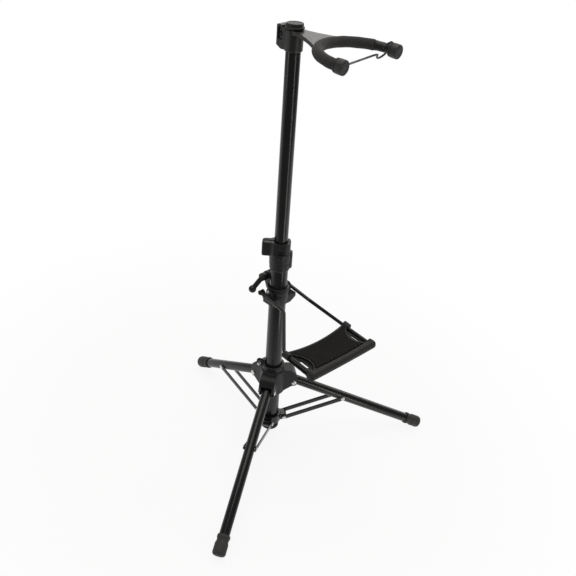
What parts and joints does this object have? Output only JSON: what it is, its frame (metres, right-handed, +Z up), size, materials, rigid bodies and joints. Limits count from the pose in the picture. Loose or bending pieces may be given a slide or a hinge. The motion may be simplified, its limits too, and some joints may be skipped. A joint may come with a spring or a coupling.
{
  "type": "wind instrument stand",
  "caption": "Folding black tripod stand with a telescopic pole, a padded horseshoe yoke with a safety wire on top, and a padded cradle on a bent rod frame half way up.",
  "frame": {"origin": "on the floor, at the centre of the footprint of the three feet", "axes": "+Z up, -Y to the front, where the cradle and the yoke reach; the pole leans back towards +Y by 6.6 degrees"},
  "size_m": [0.4378, 0.3342, 0.6377],
  "materials": {
    "black_paint": "satin black paint on steel",
    "black_plastic": "moulded, semi-matte",
    "black_rubber": "moulded rubber, matte",
    "zinc": "bright zinc plate",
    "wire_steel": "black coated spring wire",
    "foam": "closed-cell foam, matte skin",
    "felt": "pressed felt, no sheen"
  },
  "bodies": {
    "base": {"lower_tube": "black_paint", "tube_end_plug": "black_rubber", "bottom_bracket": "black_paint", "bracket_rivet_left": "zinc", "bracket_rivet_right": "zinc", "bracket_rivet_rear": "zinc", "height_clamp": "black_plastic", "clamp_rivet": "zinc"},
    "hub_slider": {"hub": "black_plastic", "hub_screw": "zinc", "leg_pin_left": "zinc", "leg_pin_right": "zinc", "leg_pin_rear": "zinc"},
    "leg_left": {"leg_left": "black_paint", "foot_left": "black_rubber", "leg_rivet_left": "zinc"},
    "stays_left": {"stay_left_a": "black_paint", "stay_left_b": "black_paint", "stay_rivet_left_a": "zinc", "stay_rivet_left_b": "zinc"},
    "leg_right": {"leg_right": "black_paint", "foot_right": "black_rubber", "leg_rivet_right": "zinc"},
    "stays_right": {"stay_right_a": "black_paint", "stay_right_b": "black_paint", "stay_rivet_right_a": "zinc", "stay_rivet_right_b": "zinc"},
    "leg_rear": {"leg_rear": "black_paint", "foot_rear": "black_rubber", "leg_rivet_rear": "zinc"},
    "stays_rear": {"stay_rear_a": "black_paint", "stay_rear_b": "black_paint", "stay_rivet_rear_a": "zinc", "stay_rivet_rear_b": "zinc"},
    "mast": {"upper_tube": "black_paint", "slide_bush": "black_plastic"},
    "head": {"head_arm": "black_plastic", "head_screw": "zinc", "yoke_rod": "black_paint", "yoke_foam": "foam", "wire_sleeve": "black_rubber", "yoke_cap_near": "black_rubber", "yoke_cap_far": "black_rubber"},
    "cap_knob": {"top_knob": "black_plastic"},
    "wire": {"safety_wire": "wire_steel"},
    "grip_knob": {"height_knob": "black_plastic"},
    "carriage": {"support_clamp": "black_plastic", "wing_rivet_left": "zinc", "wing_rivet_right": "zinc", "frame_pin_left": "zinc", "frame_pin_right": "zinc", "clamp_screw": "zinc"},
    "lever": {"clamp_lever": "black_plastic"},
    "cradle": {"rod_frame": "black_paint", "support_tray": "black_plastic", "support_pad": "felt"}
  },
  "joints": [
    {"name": "hub_slide", "type": "slide", "parent": "base", "child": "hub_slider", "axis": [0, 0.1146, 0.9934], "range_m": [0, 0.104]},
    {"name": "leg_fold_left", "type": "hinge", "parent": "hub_slider", "child": "leg_left", "pos_m": [-0.02685, -0.02706, 0.10342], "axis": [0.5439, -0.8336, 0.0962], "range_deg": [0, 43.3]},
    {"name": "stay_fold_left", "type": "hinge", "parent": "base", "child": "stays_left", "pos_m": [-0.01768, -0.02941, 0.03112], "axis": [-0.5439, 0.8336, -0.0962], "range_deg": [0, 45.98]},
    {"name": "leg_fold_right", "type": "hinge", "parent": "hub_slider", "child": "leg_right", "pos_m": [0.02685, -0.02706, 0.10342], "axis": [0.5439, 0.8336, -0.0962], "range_deg": [0, 43.3]},
    {"name": "stay_fold_right", "type": "hinge", "parent": "base", "child": "stays_right", "pos_m": [0.01768, -0.02941, 0.03112], "axis": [-0.5439, -0.8336, 0.0962], "range_deg": [0, 45.98]},
    {"name": "leg_fold_rear", "type": "hinge", "parent": "hub_slider", "child": "leg_rear", "pos_m": [0, 0.02202, 0.09776], "axis": [-1, 0, 0], "range_deg": [0, 43.3]},
    {"name": "stay_fold_rear", "type": "hinge", "parent": "base", "child": "stays_rear", "pos_m": [0, 0.0029, 0.02739], "axis": [1, 0, 0], "range_deg": [0, 45.98]},
    {"name": "mast_slide", "type": "slide", "parent": "base", "child": "mast", "axis": [0, 0.1146, 0.9934], "range_m": [-0.25, 0.02]},
    {"name": "head_swivel", "type": "hinge", "parent": "mast", "child": "head", "pos_m": [0, 0.05004, 0.61989], "axis": [0, 0.1146, 0.9934], "continuous": true},
    {"name": "top_knob_turn", "type": "hinge", "parent": "head", "child": "cap_knob", "pos_m": [0, 0.05118, 0.62982], "axis": [0, 0.1146, 0.9934], "continuous": true},
    {"name": "wire_swing", "type": "hinge", "parent": "head", "child": "wire", "pos_m": [0.06743, -0.03784, 0.62662], "axis": [-0.1404, 0.9895, -0.0334], "range_deg": [0, 110]},
    {"name": "height_knob_turn", "type": "hinge", "parent": "base", "child": "grip_knob", "pos_m": [-0.00538, 0.03881, 0.32836], "axis": [-0.7046, -0.7049, 0.0813], "continuous": true},
    {"name": "carriage_slide", "type": "slide", "parent": "base", "child": "carriage", "axis": [0, 0.1146, 0.9934], "range_m": [-0.09, 0.01]},
    {"name": "lever_turn", "type": "hinge", "parent": "carriage", "child": "lever", "pos_m": [-0.012, 0.03083, 0.27884], "axis": [1, 0, 0], "range_deg": [0, 170]},
    {"name": "cradle_fold", "type": "hinge", "parent": "carriage", "child": "cradle", "pos_m": [0, 0.01889, 0.2626], "axis": [-1, 0, 0], "range_deg": [0, 80]}
  ],
  "couplings": [
    {"joint": "leg_fold_left", "follows": "hub_slide", "rad_per_m": 7.2634},
    {"joint": "stay_fold_left", "follows": "hub_slide", "rad_per_m": 7.7127},
    {"joint": "leg_fold_right", "follows": "hub_slide", "rad_per_m": 7.2634},
    {"joint": "stay_fold_right", "follows": "hub_slide", "rad_per_m": 7.7127},
    {"joint": "leg_fold_rear", "follows": "hub_slide", "rad_per_m": 7.2634},
    {"joint": "stay_fold_rear", "follows": "hub_slide", "rad_per_m": 7.7127}
  ]
}
